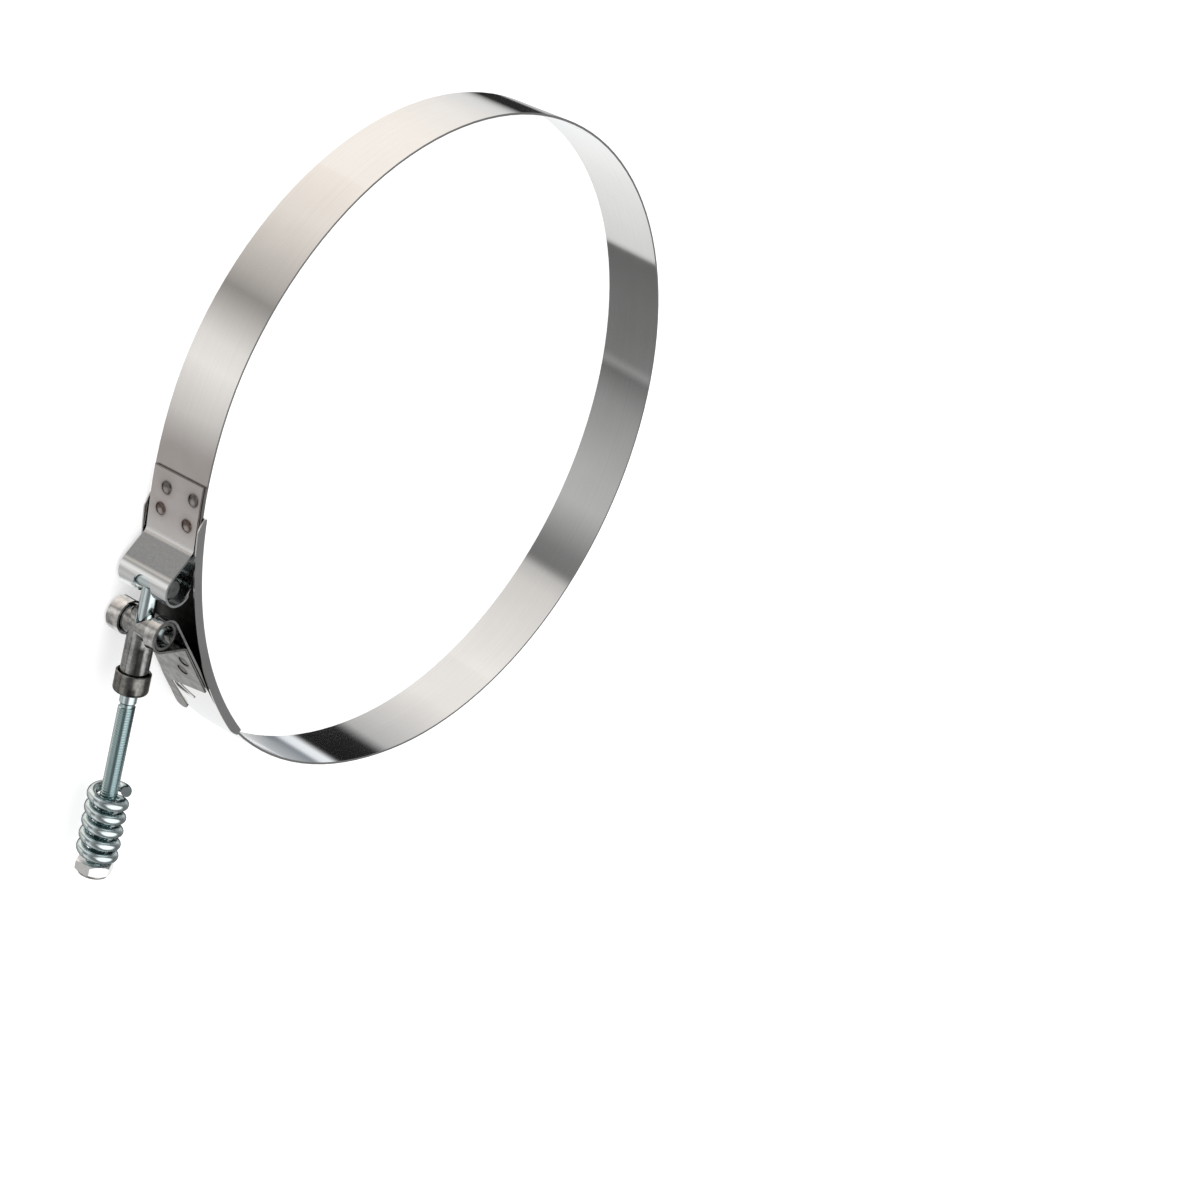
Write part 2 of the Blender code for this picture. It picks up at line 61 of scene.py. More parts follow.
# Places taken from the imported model
BOLT_LOW, BOLT_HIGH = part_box("t_bolt")
NUT_LOW, NUT_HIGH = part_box("lock_nut")
SPRING_LOW, SPRING_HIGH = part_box("spring")
COLLAR_LOW, COLLAR_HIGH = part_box("trunnion_collar")
AXIS_Y = (NUT_LOW.y + NUT_HIGH.y) / 2
AXIS_Z = (NUT_LOW.z + NUT_HIGH.z) / 2
ACROSS_FLATS = NUT_HIGH.y - NUT_LOW.y

# Fineness of the meshes, and how close doubled points lie in them
ROD_SIDES = 64
RIM_SIDES = 96
BORE_SIDES = 48
CORNER_STEPS = 8
MERGE_TURNED = 0.01 * MM
MERGE_SHEET = 0.005 * MM

# T-bolt
HEAD_DIAMETER = BOLT_HIGH.y - BOLT_LOW.y
HEAD_X = BOLT_LOW.x + HEAD_DIAMETER / 2
HEAD_CHAMFER = 0.6 * MM
BOLT_DIAMETER = 4.83 * MM
THREAD_PITCH = 0.79375 * MM
THREAD_DEPTH = 0.45 * MM
THREAD_START = 67.0 * MM
THREAD_CREST = 0.12  # the crest's width as a share of the pitch
THREAD_FOOT = 0.94  # the ridge's width at its foot, likewise
THREAD_SINK = 0.05 * MM
THREAD_STEPS = 24
RUNOUT = 0.5 * MM
# The cross head carries painted shade above and below these heights, inside the loop
HEAD_SHADE_ABOVE = AXIS_Z + 4.6 * MM
HEAD_SHADE_BELOW = AXIS_Z - 4.6 * MM

# Spring
WIRE_DIAMETER = 2.9 * MM
SPRING_PITCH = 4.1 * MM
SPRING_TURNS = 5.35
SPRING_FREE_END_ANGLE = 60.0
CLOSED_TURN = 0.35
SEAT_GAP = 0.3 * MM
WIRE_STEPS = 48
WIRE_ROUNDNESS = 6

# Lock nut
NUT_CHAMFER = 0.45 * MM
NUT_BORE = 2.72 * MM
NUT_COLLAR_LENGTH = 0.8 * MM
NUT_COLLAR_INSET = 0.4 * MM
NUT_COLLAR_ROUND = 0.5 * MM
DRILL_PAST = 2.0 * MM  # how far the drill comes out at either end

# Collar
COLLAR_WALL = 0.65 * MM
COLLAR_FLOOR = 1.5 * MM
COLLAR_CORNER = 1.2 * MM
COLLAR_LIP = 0.25 * MM
COLLAR_CLEARANCE = 0.35 * MM

# Spot welds on the folded leaves: place on the band and heat tint
WELD_RADIUS = 1.8 * MM
GRAY_HEAT = (0.06, 0.052, 0.046)
BROWN_HEAT = (0.09, 0.045, 0.028)
STAIN_REACH = 2.2
STAIN_OUT = ((0.0, 1.0), (0.95, 1.0), (1.15, 0.3), (1.4, 0.08), (2.2, 0.0))
STAIN_MIDDLE = ((0.0, 0.3), (0.25, 0.38), (0.8, 1.0), (2.2, 1.0))
PALER_SIDE = (0.95 * MM, 0.1 * MM, -0.35 * MM)
WELDS = (
    ((6.32 * MM, -99.62 * MM, 6.78 * MM), GRAY_HEAT),
    ((6.12 * MM, -99.64 * MM, 16.68 * MM), GRAY_HEAT),
    ((12.74 * MM, -99.04 * MM, 5.68 * MM), BROWN_HEAT),
    ((13.83 * MM, -98.92 * MM, 15.58 * MM), BROWN_HEAT),
    ((55.11 * MM, -88.75 * MM, 15.58 * MM), GRAY_HEAT),
    ((59.04 * MM, -85.66 * MM, 13.18 * MM), GRAY_HEAT),
)

# Painted dark reflection down the rolled sleeve and its cup, by angle round the bolt from +Y
SLEEVE_REFLECTION_ANGLE = 127.0
CUP_REFLECTION_ANGLE = 134.0
DARK_REFLECTION_START = 49.6 * MM
SLEEVE_REFLECTION_WIDTH = 1.9 * MM
CUP_REFLECTION_WIDTH = 2.2 * MM
CUP_REFLECTION_START = COLLAR_LOW.x + 3.4 * MM
SLEEVE_PAINTED_REFLECTION = (0.03, 0.029, 0.027)
CUP_PAINTED_REFLECTION = (0.055, 0.052, 0.05)

# Stretches of the closure, by place along X: the worked panel of the upper leaf, a painted highlight on
# the fold at its foot, the worked ramp with painted shade, the worked roll, and a painted shadow at the
# strip's cut end
PANEL_FROM, PANEL_TO = -10.0 * MM, 18.0 * MM
FOLD_HIGHLIGHT_WIDTH = 1.7 * MM
RAMP_FROM, RAMP_TO = 20.9 * MM, 27.2 * MM
ROLL_TO = 36.0 * MM
STEP_SHADOW_FROM, STEP_SHADOW_TO = 1.3 * MM, 1.6 * MM
CLOSURE_SIDE = 97.0 * MM

# The lower leaf and its loop, by place outwards and along the leaf
LEAF_ANGLE = -51.816
LEAF_OUT = 103.4 * MM
LEAF_ALONG = -19.0 * MM
WRAP_OUT = 100.8 * MM
WRAP_ALONG = -33.0 * MM

# The channel's floor between the bridge's side walls, by height, where shade is painted
CHANNEL_LOW, CHANNEL_HIGH = 0.9 * MM, 19.65 * MM
FACES_OUT = 0.5  # cosine of the tilt up to which a face looks outwards

# Tints; the fold's is a painted highlight, and the ramp's, step's, head's, nut collar's and channel
# floor's are painted shade
DULL_PANEL = (0.66, 0.62, 0.61)
PAINTED_FOLD_HIGHLIGHT = (0.97, 0.965, 0.96)
SATIN_ROLL = (0.89, 0.91, 0.92)
SATIN_RAMP_PAINTED_SHADE = (0.345, 0.36, 0.37)
PAINTED_STEP_SHADOW = (0.3, 0.29, 0.28)
DULL_LEAF = (0.18, 0.177, 0.17)
SMUDGED_WRAP = (0.24, 0.235, 0.23)
PLATED_THREAD = (0.54, 0.655, 0.665)
PAINTED_HEAD_SHADE = (0.16, 0.155, 0.15)
PAINTED_NUT_COLLAR_SHADE = (0.42, 0.41, 0.40)
PAINTED_CHANNEL_SHADE = (0.06, 0.058, 0.055)

# Marks across the closure, by place along X:
# from, to, soft edge, tint, roughness, blotches (scale, weakest, strongest)
CLOSURE_MARKS = (
    (PANEL_FROM, PANEL_TO, 5.0 * MM, DULL_PANEL, 0.16, (160.0, 0.85, 1.0)),
    # painted highlight along the fold, with a rougher gloss
    (RAMP_FROM - FOLD_HIGHLIGHT_WIDTH, RAMP_FROM, 0.4 * MM, PAINTED_FOLD_HIGHLIGHT, 0.36, None),
    (RAMP_TO, ROLL_TO, 0.5 * MM, SATIN_ROLL, 0.17, None),
    # satin ramp, darkened with painted shade
    (RAMP_FROM, RAMP_TO, 0.35 * MM, SATIN_RAMP_PAINTED_SHADE, 0.3, (1800.0, 0.88, 1.0)),
    # painted shadow at the upper leaf's cut end
    (STEP_SHADOW_FROM, STEP_SHADOW_TO, 0.1 * MM, PAINTED_STEP_SHADOW, 0.3, None),
)
# Marks on the lower leaf and its loop: how far out they start and their soft edge there,
# from, to and soft edge along the leaf, then as above
LEAF_MARKS = (
    (LEAF_OUT, 0.05 * MM, LEAF_ALONG, FAR, 0.8 * MM, DULL_LEAF, 0.28, (420.0, 0.84, 1.0)),
    (WRAP_OUT, 0.3 * MM, WRAP_ALONG, LEAF_ALONG, 0.5 * MM, SMUDGED_WRAP, 0.24, (420.0, 0.1, 0.85)),
)

# Run of a metal's drawn lines: how often they repeat along X, Y and Z
ALONG_STRIP = (25.0, 25.0, 5000.0)
ROUND_BOLT = (4000.0, 60.0, 60.0)
GRAINY = (900.0, 900.0, 900.0)
# Part of a noise's values that is spread from the weakest gloss or tint to the strongest
GLOSS_SPAN = (0.3, 0.7)
TINT_SPAN = (0.35, 0.65)

# White cards and black flags round the clamp, by compass angle from +X: angle, gray, warmth.
# The band's outer side mirrors the low ones
CARDS_LOW = (
    (-180, 250, 0.08), (-160, 235, 0.07), (-135, 185, 0.06), (-130, 165, 0.06), (-128, 150, 0.05),
    (-125, 165, 0.04), (-110, 235, 0.03), (-100, 245, 0.03), (-70, 180, 0.03), (-45, 200, 0.02),
    (-10, 175, 0.0), (14, 250, 0.0), (62, 250, -0.02), (88, 190, 0.0), (91, 45, 0.0),
    (103, 40, 0.0), (108, 205, 0.0), (112, 230, 0.0), (128, 245, 0.04), (150, 255, 0.06),
)
# Its inner side mirrors these
CARDS_MIDDLE = (
    (-180, 250, 0.03), (-142, 220, 0.03), (-136, 200, 0.02), (-133, 120, 0.0), (-126, 130, 0.0),
    (-109, 190, 0.0), (-98, 185, 0.0), (-72, 150, 0.0), (-60, 110, 0.0), (-58, 155, 0.0),
    (-55, 125, 0.0), (-12, 105, 0.0), (-11, 225, 0.0), (35, 250, 0.0), (73, 255, -0.02),
    (78, 190, -0.04), (88, 170, -0.07), (95, 140, -0.1), (98, 245, -0.05), (103, 255, -0.03),
    (106, 30, 0.0), (123, 40, 0.0), (128, 190, 0.0), (160, 245, 0.03),
)
# The wall behind the cards, which the left sides of the round pieces mirror
CARDS_SIDE = (
    (-180, 190, 0.0), (-150, 240, 0.0), (-125, 150, 0.0), (-105, 110, 0.0), (-80, 200, 0.0),
    (-50, 235, 0.0), (-15, 165, 0.0), (15, 250, 0.0), (105, 250, 0.0), (125, 120, 0.0),
    (150, 105, 0.0),
)
# What rims and the tops of round pieces mirror, by the sine of the height
CARDS_ABOVE = ((0.0, 195), (0.1, 160), (0.3, 130), (0.45, 120), (0.6, 120), (0.66, 140), (0.72, 185),
               (0.78, 240), (0.84, 255))
# Heights where one ring of cards gives way to the next, and how softly
TOP_OF_LOW = (-0.568, 0.004)
TOP_OF_MIDDLE = (-0.48, 0.02)
TOP_OF_SIDE = (-0.03, 0.06)

WHITE = (1.0, 1.0, 1.0, 1.0)
PLAIN_LIGHT = (0.8, 0.8, 0.8, 1.0)
FLOOR_SIZE = 12.0
FLOOR_COLOR = (0.85, 0.85, 0.85, 1.0)
FLOOR_GLOW = 0.5
LAMP_PLACE = Vector((-0.3, -0.2, 1.4))
LAMP_SIZE = 2.5
LAMP_POWER = 6.0


# Modelling helpers

def pick_only(obj):
    """Select one object and make it the active one."""
    bpy.ops.object.select_all(action="DESELECT")
    obj.select_set(True)
    bpy.context.view_layer.objects.active = obj


def open_mesh(obj):
    """Go into edit mode with all of an object's mesh selected."""
    pick_only(obj)
    bpy.ops.object.mode_set(mode="EDIT")
    bpy.ops.mesh.select_all(action="SELECT")


def close_mesh():
    """Leave edit mode."""
    bpy.ops.object.mode_set(mode="OBJECT")


def apply_all(obj):
    """Apply an object's modifiers, then its place, so that its mesh holds both."""
    pick_only(obj)
    for modifier in list(obj.modifiers):
        bpy.ops.object.modifier_apply(modifier=modifier.name)
    bpy.ops.object.transform_apply(location=True, rotation=True, scale=True)


def clean_faces(obj):
    """Merge doubled points and turn every face outwards."""
    open_mesh(obj)
    bpy.ops.mesh.remove_doubles(threshold=MERGE_TURNED)
    bpy.ops.mesh.normals_make_consistent(inside=False)
    close_mesh()


def smooth(obj, degrees):
    """Shade smooth, and keep edges crisp that are sharper than this."""
    pick_only(obj)
    bpy.ops.object.shade_smooth_by_angle(angle=math.radians(degrees))


def outline(name, points):
    """Closed line through these points."""
    bpy.ops.mesh.primitive_circle_add(vertices=len(points), radius=MM, fill_type="NOTHING")
    obj = bpy.context.active_object
    obj.name = name
    for vertex, place in zip(obj.data.vertices, points):
        vertex.co = place
    return obj


def turned(name, profile, sides, axis="X"):
    """Spin a closed outline of (position, radius) points about the X or the Z axis."""
    if axis == "X":
        obj = outline(name, [(position, radius, 0.0) for position, radius in profile])
        direction = ALONG_X
    else:
        obj = outline(name, [(0.0, radius, position) for position, radius in profile])
        direction = ALONG_Z
    open_mesh(obj)
    bpy.ops.mesh.spin(steps=sides, angle=2 * math.pi, center=(0, 0, 0), axis=direction)
    close_mesh()
    clean_faces(obj)
    return obj


def round_corner(end, side, size):
    """Profile points of a rounded corner, from a piece's side to its end face."""
    points = []
    for i in range(CORNER_STEPS + 1):
        angle = math.radians(90.0 * i / CORNER_STEPS)
        points.append((end - size * (1 - math.sin(angle)), side - size * (1 - math.cos(angle))))
    return points


def combine(obj, tool, operation):
    """Join, cut or trim a piece by another, which is then removed."""
    modifier = obj.modifiers.new(operation.lower(), "BOOLEAN")
    modifier.operation = operation
    modifier.object = tool
    modifier.solver = "EXACT"
    apply_all(obj)
    bpy.data.objects.remove(tool, do_unlink=True)


def merged_copy(node, name):
    """Smooth-shaded copy of a solid that is bent or pressed from sheet."""
    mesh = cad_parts[node].data.copy()
    obj = bpy.data.objects.new(name, mesh)
    bpy.context.scene.collection.objects.link(obj)
    open_mesh(obj)
    bpy.ops.mesh.customdata_custom_splitnormals_clear()
    bpy.ops.mesh.remove_doubles(threshold=MERGE_SHEET)
    close_mesh()
    smooth(obj, 30.0)
    weighted = obj.modifiers.new("normals", "WEIGHTED_NORMAL")
    weighted.keep_sharp = True
    apply_all(obj)
    return obj


def finish_piece(obj, node, body, slot):
    """Give a piece its finish and body, in place of the solid that it stands for."""
    obj.data.materials.clear()
    obj.data.materials.append(FINISHES[slot])
    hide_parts(node)
    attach(obj, body)


# Surface helpers

def feed(tree, socket, value):
    """Set a socket to a plain value, or link it to another node's output."""
    if isinstance(value, bpy.types.NodeSocket):
        tree.links.new(value, socket)
    else:
        socket.default_value = value


def new_group(name, inputs, outputs):
    """Empty shader group with named sockets, and its two end nodes."""
    group = bpy.data.node_groups.new(name, "ShaderNodeTree")
    for label, kind, value in inputs:
        socket = group.interface.new_socket(name=label, in_out="INPUT", socket_type=kind)
        socket.default_value = value
    for label, kind in outputs:
        group.interface.new_socket(name=label, in_out="OUTPUT", socket_type=kind)
    source = group.nodes.new("NodeGroupInput")
    sink = group.nodes.new("NodeGroupOutput")
    return group, source, sink


def math_node(tree, operation, first, second=None, third=None, clamp=False):
    """Math on plain numbers or other nodes' outputs."""
    node = tree.nodes.new("ShaderNodeMath")
    node.operation = operation
    node.use_clamp = clamp
    for socket, value in zip(node.inputs, (first, second, third)):
        if value is not None:
            feed(tree, socket, value)
    return node.outputs[0]


def vector_node(tree, operation, first, second):
    """Vector math on other nodes' outputs."""
    node = tree.nodes.new("ShaderNodeVectorMath")
    node.operation = operation
    feed(tree, node.inputs[0], first)
    feed(tree, node.inputs[1], second)
    return node


def remap(tree, value, span, low=0.0, high=1.0):
    """Spread a stretch of values over another one, and hold it at both ends."""
    node = tree.nodes.new("ShaderNodeMapRange")
    tree.links.new(value, node.inputs["Value"])
    for name, number in zip(("From Min", "From Max", "To Min", "To Max"), (*span, low, high)):
        node.inputs[name].default_value = number
    return node.outputs[0]


def ramped(tree, value, stops, interpolation="LINEAR"):
    """Color ramp with these (position, color) stops."""
    node = tree.nodes.new("ShaderNodeValToRGB")
    ramp = node.color_ramp
    ramp.interpolation = interpolation
    while len(ramp.elements) > 1:
        ramp.elements.remove(ramp.elements[-1])
    ramp.elements[0].position = stops[0][0]
    ramp.elements[0].color = (*stops[0][1], 1.0)
    for position, color in stops[1:]:
        element = ramp.elements.new(position)
        element.color = (*color, 1.0)
    tree.links.new(value, node.inputs["Fac"])
    return node.outputs["Color"]


def mixed(tree, kind, share, first, second):
    """Blend two colors or two numbers, each a plain one or another node's output."""
    node = tree.nodes.new("ShaderNodeMix")
    node.data_type = kind
    slots = [socket for socket in node.inputs if socket.enabled]
    for slot, value in zip(slots, (share, first, second)):
        feed(tree, slot, value)
    return [socket for socket in node.outputs if socket.enabled][0]


def object_place(tree):
    """Place on the object, in its own coordinates."""
    return tree.nodes.new("ShaderNodeTexCoord").outputs["Object"]


def noise(tree, place, scale, detail):
    """Cloudy noise over the surface."""
    node = tree.nodes.new("ShaderNodeTexNoise")
    tree.links.new(place, node.inputs["Vector"])
    feed(tree, node.inputs["Scale"], scale)
    node.inputs["Detail"].default_value = detail
    return node.outputs["Fac"]


def placed(tree, group, **values):
    """Put a surface group into a material with its own values."""
    node = tree.nodes.new("ShaderNodeGroup")
    node.node_tree = group
    for label, value in values.items():
        node.inputs[label].default_value = value
    return node


def drawn_lines_group():
    """Fine rolling lines along the strip or round a turned piece, with a slow cloudiness."""
    group, source, sink = new_group(
        "drawn_lines",
        [("Across", "NodeSocketVector", (30.0, 30.0, 4000.0)), ("Cloud", "NodeSocketFloat", 60.0)],
        [("Lines", "NodeSocketFloat"), ("Clouds", "NodeSocketFloat")],
    )
    place = object_place(group)
    stretched = vector_node(group, "MULTIPLY", place, source.outputs["Across"]).outputs["Vector"]
    lines = noise(group, stretched, scale=1.0, detail=3.0)
    clouds = noise(group, place, source.outputs["Cloud"], detail=3.0)
    group.links.new(lines, sink.inputs["Lines"])
    group.links.new(clouds, sink.inputs["Clouds"])
    return group


def weld_stain_group():
    """Heat tint of a spot weld: a dark round with a paler middle that lies off center."""
    group, source, sink = new_group(
        "weld_stain",
        [("Center", "NodeSocketVector", (0.0, 0.0, 0.0)), ("Radius", "NodeSocketFloat", 0.002),
         ("Paler", "NodeSocketVector", (0.001, 0.0, 0.0))],
        [("Stain", "NodeSocketFloat")],
    )
    place = object_place(group)
    masks = []
    for spot, stops in (("Center", STAIN_OUT), ("Paler", STAIN_MIDDLE)):
        away = vector_node(group, "DISTANCE", place, source.outputs[spot]).outputs["Value"]
        radii = math_node(group, "DIVIDE", away, source.outputs["Radius"])
        share = math_node(group, "DIVIDE", radii, STAIN_REACH, clamp=True)
        tones = [(at / STAIN_REACH, (value, value, value)) for at, value in stops]
        masks.append(ramped(group, share, tones, "EASE"))
    group.links.new(math_node(group, "MULTIPLY", *masks), sink.inputs["Stain"])
    return group


def stretch_group():
    """Mask of what lies between two planes across a direction, with soft sides."""
    group, source, sink = new_group(
        "stretch",
        [("Direction", "NodeSocketVector", ALONG_X), ("From", "NodeSocketFloat", 0.0),
         ("To", "NodeSocketFloat", 0.01), ("Soft", "NodeSocketFloat", 0.0003)],
        [("Mask", "NodeSocketFloat")],
    )
    place = object_place(group)
    along = vector_node(group, "DOT_PRODUCT", place, source.outputs["Direction"]).outputs["Value"]
    past = math_node(group, "SUBTRACT", along, source.outputs["From"])
    left = math_node(group, "SUBTRACT", source.outputs["To"], along)
    nearer = math_node(group, "MINIMUM", past, left)
    share = math_node(group, "DIVIDE", nearer, source.outputs["Soft"])
    mask = math_node(group, "MULTIPLY_ADD", share, 0.5, 0.5, clamp=True)
    group.links.new(mask, sink.inputs["Mask"])
    return group


DRAWN_LINES = drawn_lines_group()
WELD_STAIN = weld_stain_group()
STRETCH = stretch_group()


def stretch_mask(tree, direction, start, end, soft):
    """Where the surface lies between two places along a direction."""
    return placed(tree, STRETCH, Direction=direction, From=start, To=end, Soft=soft).outputs["Mask"]


def mottle(tree, scale, low, high):
    """Blotches between two strengths, for handling marks."""
    return remap(tree, noise(tree, object_place(tree), scale, detail=4.0), TINT_SPAN, low, high)


def lay_over(tree, masks, color, roughness):
    """Put another tint and gloss over a metal's own where all of these masks are high."""
    shader = tree.nodes["Principled BSDF"]
    mask = masks[0]
    for other in masks[1:]:
        mask = math_node(tree, "MULTIPLY", mask, other)
    for name, kind, value in (("Base Color", "RGBA", (*color, 1.0)), ("Roughness", "FLOAT", roughness)):
        under = shader.inputs[name].links[0].from_socket
        tree.links.new(mixed(tree, kind, mask, under, value), shader.inputs[name])


# Metals

def metal(name, color, streak, roughness, spread, lines, cloud, depth, metallic=1.0, rim=1.0):
    """Bare or plated metal whose drawn lines and clouds change its gloss and tint a little.

    streak is the share of the color that its darkest streaks keep, spread how far the roughness
    swings to either side, depth that of the drawn lines, and rim the tint at a low angle.
    """
    material = bpy.data.materials.new(name)
    material.use_nodes = True
    tree = material.node_tree
    shader = tree.nodes["Principled BSDF"]
    shader.inputs["Metallic"].default_value = metallic
    shader.inputs["Specular Tint"].default_value = (rim, rim, rim, 1.0)
    surface = placed(tree, DRAWN_LINES, Across=lines, Cloud=cloud)
    drawn, clouds = surface.outputs["Lines"], surface.outputs["Clouds"]
    both = math_node(tree, "MULTIPLY", math_node(tree, "ADD", drawn, clouds), 0.5)
    gloss = remap(tree, both, GLOSS_SPAN, roughness - spread, roughness + spread)
    tree.links.new(gloss, shader.inputs["Roughness"])
    dark = tuple(channel * streak for channel in color)
    tint = ramped(tree, both, [(TINT_SPAN[0], dark), (TINT_SPAN[1], color)])
    tree.links.new(tint, shader.inputs["Base Color"])
    bump = tree.nodes.new("ShaderNodeBump")
    bump.inputs["Strength"].default_value = 1.0
    bump.inputs["Distance"].default_value = depth
    tree.links.new(drawn, bump.inputs["Height"])
    tree.links.new(bump.outputs[0], shader.inputs["Normal"])
    return material


def strip_marks(material):
    """Worked stretches of the closure with a painted highlight on the fold, painted shade on the ramp
    and a painted shadow at the cut end, the dull lower leaf and heat-tinted welds on the band.
    """
    tree = material.node_tree
    closure = stretch_mask(tree, (0.0, -1.0, 0.0), CLOSURE_SIDE, FAR, soft=0.5 * MM)
    for start, end, soft, tint, roughness, blotches in CLOSURE_MARKS:
        masks = [closure, stretch_mask(tree, ALONG_X, start, end, soft)]
        if blotches:
            masks.append(mottle(tree, *blotches))
        lay_over(tree, masks, tint, roughness)
    turn = math.radians(LEAF_ANGLE)
    outward = (math.cos(turn), math.sin(turn), 0.0)
    along = (-math.sin(turn), math.cos(turn), 0.0)
    for out, out_soft, start, end, soft, tint, roughness, blotches in LEAF_MARKS:
        masks = [stretch_mask(tree, outward, out, FAR, out_soft),
                 stretch_mask(tree, along, start, end, soft), mottle(tree, *blotches)]
        lay_over(tree, masks, tint, roughness)
    for center, tint in WELDS:
        paler = tuple(Vector(center) + Vector(PALER_SIDE))
        weld = placed(tree, WELD_STAIN, Center=center, Radius=WELD_RADIUS, Paler=paler)
        patches = mottle(tree, scale=900.0, low=0.7, high=1.0)
        lay_over(tree, [weld.outputs["Stain"], patches], tint, roughness=0.32)
    return material


def bolt_marks(material):
    """Duller thread, and painted shade on the cross head above and below the slot, on the bright plated
    bolt.
    """
    tree = material.node_tree
    thread = stretch_mask(tree, ALONG_X, THREAD_START, FAR, soft=0.2 * MM)
    lay_over(tree, [thread], PLATED_THREAD, roughness=0.16)
    for start, end in ((HEAD_SHADE_ABOVE, FAR), (-FAR, HEAD_SHADE_BELOW)):
        dark = stretch_mask(tree, ALONG_Z, start, end, soft=0.4 * MM)
        patches = mottle(tree, scale=600.0, low=0.75, high=1.0)
        lay_over(tree, [dark, patches], PAINTED_HEAD_SHADE, roughness=0.3)
    return material


def nut_marks(material):
    """Painted shade on the locking collar of the bright nut, with a duller gloss."""
    tree = material.node_tree
    collar = stretch_mask(tree, ALONG_X, NUT_HIGH.x - NUT_COLLAR_LENGTH, FAR, soft=0.1 * MM)
    lay_over(tree, [collar], PAINTED_NUT_COLLAR_SHADE, roughness=0.25)
    return material


def paint_dark_reflection(material, angle, width, start, end, color):
    """Painted dark reflection down one side of a round piece on the bolt's axis."""
    tree = material.node_tree
    turn = math.radians(angle)
    out = Vector((0.0, math.cos(turn), math.sin(turn)))
    around = Vector((0.0, -math.sin(turn), math.cos(turn)))
    axis = Vector((0.0, AXIS_Y, AXIS_Z))
    middle = axis.dot(around)
    masks = [
        stretch_mask(tree, tuple(out), axis.dot(out) + BOLT_DIAMETER / 2, FAR, soft=0.3 * MM),
        stretch_mask(tree, tuple(around), middle - width / 2, middle + width / 2, soft=0.35 * MM),
        stretch_mask(tree, ALONG_X, start, end, soft=0.6 * MM),
        mottle(tree, scale=500.0, low=0.92, high=1.0),
    ]
    lay_over(tree, masks, color, roughness=0.3)
    return material


def paint_channel_shade(material):
    """Painted shade on the channel's floor between the bridge's bright side walls, on the marked faces.
    """
    tree = material.node_tree
    channel_shade = tree.nodes.new("ShaderNodeAttribute")
    channel_shade.attribute_name = "channel_shade"
    patches = mottle(tree, scale=300.0, low=0.9, high=1.0)
    lay_over(tree, [channel_shade.outputs["Fac"], patches], PAINTED_CHANNEL_SHADE, roughness=0.35)
    return material


FINISHES = {
    "band_steel": strip_marks(metal(
        "strip_steel", (0.88, 0.875, 0.865), streak=0.93, roughness=0.07, spread=0.02,
        lines=ALONG_STRIP, cloud=45.0, depth=0.0006 * MM)),
    "bridge_steel": paint_channel_shade(metal(
        "channel_steel", (0.84, 0.84, 0.835), streak=0.85, roughness=0.16, spread=0.03,
        lines=ALONG_STRIP, cloud=45.0, depth=0.002 * MM)),
    "bolt_zinc": bolt_marks(metal(
        "plated_bolt", (0.78, 0.88, 0.90), streak=0.85, roughness=0.14, spread=0.04,
        lines=ROUND_BOLT, cloud=120.0, depth=0.002 * MM, rim=0.3)),
    "spring_zinc": metal(
        "plated_wire", (0.80, 0.90, 0.91), streak=0.85, roughness=0.13, spread=0.04,
        lines=GRAINY, cloud=120.0, depth=0.002 * MM, rim=0.0),
    "nut_zinc": nut_marks(metal(
        "plated_nut", (0.90, 0.90, 0.89), streak=0.92, roughness=0.2, spread=0.04,
        lines=GRAINY, cloud=150.0, depth=0.003 * MM, metallic=0.85)),
    "trunnion_steel": paint_dark_reflection(
        metal("dark_steel", (0.54, 0.54, 0.53), streak=0.42, roughness=0.13, spread=0.05,
              lines=GRAINY, cloud=150.0, depth=0.004 * MM, rim=0.4),
        SLEEVE_REFLECTION_ANGLE, SLEEVE_REFLECTION_WIDTH, DARK_REFLECTION_START, COLLAR_HIGH.x, SLEEVE_PAINTED_REFLECTION),
    "collar_steel": paint_dark_reflection(
        metal("dark_cup", (0.33, 0.32, 0.30), streak=0.42, roughness=0.16, spread=0.06,
              lines=GRAINY, cloud=150.0, depth=0.005 * MM, rim=0.4),
        CUP_REFLECTION_ANGLE, CUP_REFLECTION_WIDTH, CUP_REFLECTION_START, FAR, CUP_PAINTED_REFLECTION),
}


# Pieces

def to_axis(obj, x):
    """Move a piece made round the origin onto the bolt's axis."""
    obj.location = (x, AXIS_Y, AXIS_Z)
    apply_all(obj)


def make_bolt():
    """Rod that steps down to the thread's root, joined to its cross barrel head."""
    radius = BOLT_DIAMETER / 2
    root = radius - THREAD_DEPTH
    end = BOLT_HIGH.x - HEAD_X
    start = THREAD_START - HEAD_X
    rod = turned("bolt_rod", [
        (0, 0), (0, radius), (start, radius), (start + RUNOUT, root), (end - HEAD_CHAMFER, root),
        (end, root - HEAD_CHAMFER / 2), (end, 0)], ROD_SIDES)
    half = (BOLT_HIGH.z - BOLT_LOW.z) / 2
    wide = HEAD_DIAMETER / 2
    narrow = wide - HEAD_CHAMFER
    head = turned("bolt_head", [
        (-half, 0), (-half, narrow), (HEAD_CHAMFER - half, wide), (half - HEAD_CHAMFER, wide),
        (half, narrow), (half, 0)], ROD_SIDES, "Z")
    combine(rod, head, "UNION")
    to_axis(rod, HEAD_X)
    smooth(rod, 30.0)
    finish_piece(rod, "t_bolt", "clamp", "bolt_zinc")


